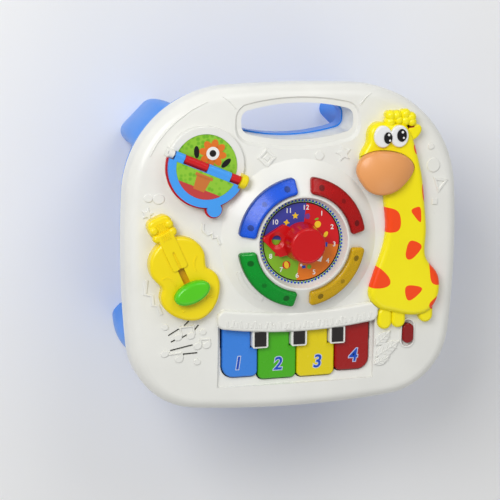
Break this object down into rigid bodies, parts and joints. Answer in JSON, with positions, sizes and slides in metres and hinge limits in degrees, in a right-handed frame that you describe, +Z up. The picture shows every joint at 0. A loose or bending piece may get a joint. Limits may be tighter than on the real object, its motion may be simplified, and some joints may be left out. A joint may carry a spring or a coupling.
{
  "type": "activity table",
  "caption": "Toddler's activity table on plug-in legs, with clock dial, light arcs, flip book, guitar slider, giraffe nose button, piano keys and carry handle.",
  "frame": {"origin": "on the floor under the middle of the tabletop", "axes": "+Z up, +Y towards the carry handle, +X to the right of a child at the piano keys"},
  "size_m": [0.3, 0.286, 0.2202],
  "materials": {
    "shell_white": "gloss",
    "case_blue": "gloss",
    "giraffe_yellow": "gloss",
    "muzzle_peach": "gloss",
    "eye_white": "gloss",
    "black_plastic": "gloss",
    "guitar_yellow": "gloss",
    "slider_green": "gloss",
    "hand_red": "gloss",
    "lens_blue": "clear tinted",
    "lens_red": "clear tinted",
    "lens_green": "clear tinted",
    "lens_amber": "clear tinted",
    "key_blue": "gloss",
    "key_green": "gloss",
    "key_yellow": "gloss",
    "key_red": "gloss",
    "page_blue": "gloss",
    "page_red": "gloss",
    "cap_yellow": "gloss",
    "printed_sheet": "printed satin",
    "steel": "satin",
    "circuit_board": "satin",
    "chip_black": "matte",
    "pad_rubber": "matte",
    "cone_paper": "matte",
    "cell_wrap": "satin",
    "contact_metal": "bright",
    "led_clear": "clear"
  },
  "bodies": {
    "table": {"top_shell": "shell_white", "bottom_shell": "case_blue", "giraffe_body": "giraffe_yellow", "giraffe_eyes": "eye_white", "giraffe_pupils": "black_plastic", "nose_switch": "circuit_board", "guitar_body": "guitar_yellow", "slider_board": "circuit_board", "dial_plate": "printed_sheet", "lens_blue": "lens_blue", "lens_red": "lens_red", "lens_green": "lens_green", "lens_amber": "lens_amber", "lens_leds": "led_clear", "lens_screws": "steel", "black_keys": "black_plastic", "key_pivot_rod": "steel", "key_board": "circuit_board", "key_pads": "pad_rubber", "key_board_screws": "steel", "main_board": "circuit_board", "board_chips": "chip_black", "main_board_screws": "steel", "speaker_basket": "steel", "speaker_cone": "cone_paper", "speaker_magnet": "steel", "battery_cells": "cell_wrap", "battery_contacts": "contact_metal", "power_switch": "chip_black", "book_base": "shell_white", "book_rod": "steel", "book_end_cap": "cap_yellow", "book_picture": "printed_sheet", "case_screws": "steel", "figure_screws": "steel"},
    "leg_front_left": {"leg_front_left": "case_blue"},
    "leg_front_right": {"leg_front_right": "case_blue"},
    "leg_rear_left": {"leg_rear_left": "case_blue"},
    "leg_rear_right": {"leg_rear_right": "case_blue"},
    "nose": {"giraffe_muzzle": "muzzle_peach"},
    "slider": {"guitar_slider": "slider_green", "slider_carriage": "slider_green"},
    "hand": {"clock_hand": "hand_red", "hand_washer": "steel", "hand_screw": "steel"},
    "key_blue": {"key_blue": "key_blue"},
    "key_green": {"key_green": "key_green"},
    "key_yellow": {"key_yellow": "key_yellow"},
    "key_red": {"key_red": "key_red"},
    "page_blue": {"page_blue": "page_blue", "page_blue_picture": "printed_sheet"},
    "page_red": {"page_red": "page_red", "page_red_picture": "printed_sheet"},
    "power_knob": {"power_knob": "hand_red"},
    "battery_door": {"battery_door": "case_blue", "door_screws": "steel"}
  },
  "joints": [
    {"name": "leg_front_left_plug", "type": "slide", "parent": "table", "child": "leg_front_left", "axis": [0, 0, -1], "range_m": [0, 0.022]},
    {"name": "leg_front_right_plug", "type": "slide", "parent": "table", "child": "leg_front_right", "axis": [0, 0, -1], "range_m": [0, 0.022]},
    {"name": "leg_rear_left_plug", "type": "slide", "parent": "table", "child": "leg_rear_left", "axis": [0, 0, -1], "range_m": [0, 0.022]},
    {"name": "leg_rear_right_plug", "type": "slide", "parent": "table", "child": "leg_rear_right", "axis": [0, 0, -1], "range_m": [0, 0.022]},
    {"name": "nose_press", "type": "slide", "parent": "table", "child": "nose", "axis": [0, 0, -1], "range_m": [0, 0.0025], "stiffness_N_per_m": 300, "springref_m": -0.002},
    {"name": "slider_slide", "type": "slide", "parent": "table", "child": "slider", "axis": [-0.4067, 0.9135, 0], "range_m": [0, 0.019]},
    {"name": "hand_turn", "type": "hinge", "parent": "table", "child": "hand", "pos_m": [0, 0.00949, 0.198], "axis": [0, 0, 1], "continuous": true},
    {"name": "key_blue_press", "type": "hinge", "parent": "table", "child": "key_blue", "pos_m": [-0.05265, -0.06006, 0.1785], "axis": [1, 0, 0], "range_deg": [0, 4], "stiffness_Nm_per_rad": 0.3, "springref_deg": -5.73},
    {"name": "key_green_press", "type": "hinge", "parent": "table", "child": "key_green", "pos_m": [-0.01755, -0.06006, 0.1785], "axis": [1, 0, 0], "range_deg": [0, 4], "stiffness_Nm_per_rad": 0.3, "springref_deg": -5.73},
    {"name": "key_yellow_press", "type": "hinge", "parent": "table", "child": "key_yellow", "pos_m": [0.01755, -0.06006, 0.1785], "axis": [1, 0, 0], "range_deg": [0, 4], "stiffness_Nm_per_rad": 0.3, "springref_deg": -5.73},
    {"name": "key_red_press", "type": "hinge", "parent": "table", "child": "key_red", "pos_m": [0.05265, -0.06006, 0.1785], "axis": [1, 0, 0], "range_deg": [0, 4], "stiffness_Nm_per_rad": 0.3, "springref_deg": -5.73},
    {"name": "page_blue_turn", "type": "hinge", "parent": "table", "child": "page_blue", "pos_m": [-0.08295, 0.07665, 0.1964], "axis": [-0.9212, 0.3891, 0], "range_deg": [0, 180]},
    {"name": "page_red_turn", "type": "hinge", "parent": "table", "child": "page_red", "pos_m": [-0.08295, 0.07665, 0.1964], "axis": [-0.9212, 0.3891, 0], "range_deg": [0, 170]},
    {"name": "power_slide", "type": "slide", "parent": "table", "child": "power_knob", "axis": [0, 1, 0], "range_m": [-0.0026, 0.0026]},
    {"name": "battery_door_lift", "type": "slide", "parent": "table", "child": "battery_door", "axis": [0, 0, -1], "range_m": [0, 0.012]}
  ],
  "couplings": [
    {"joint": "page_red_turn", "follows": "page_blue_turn", "ratio": 0.94}
  ]
}
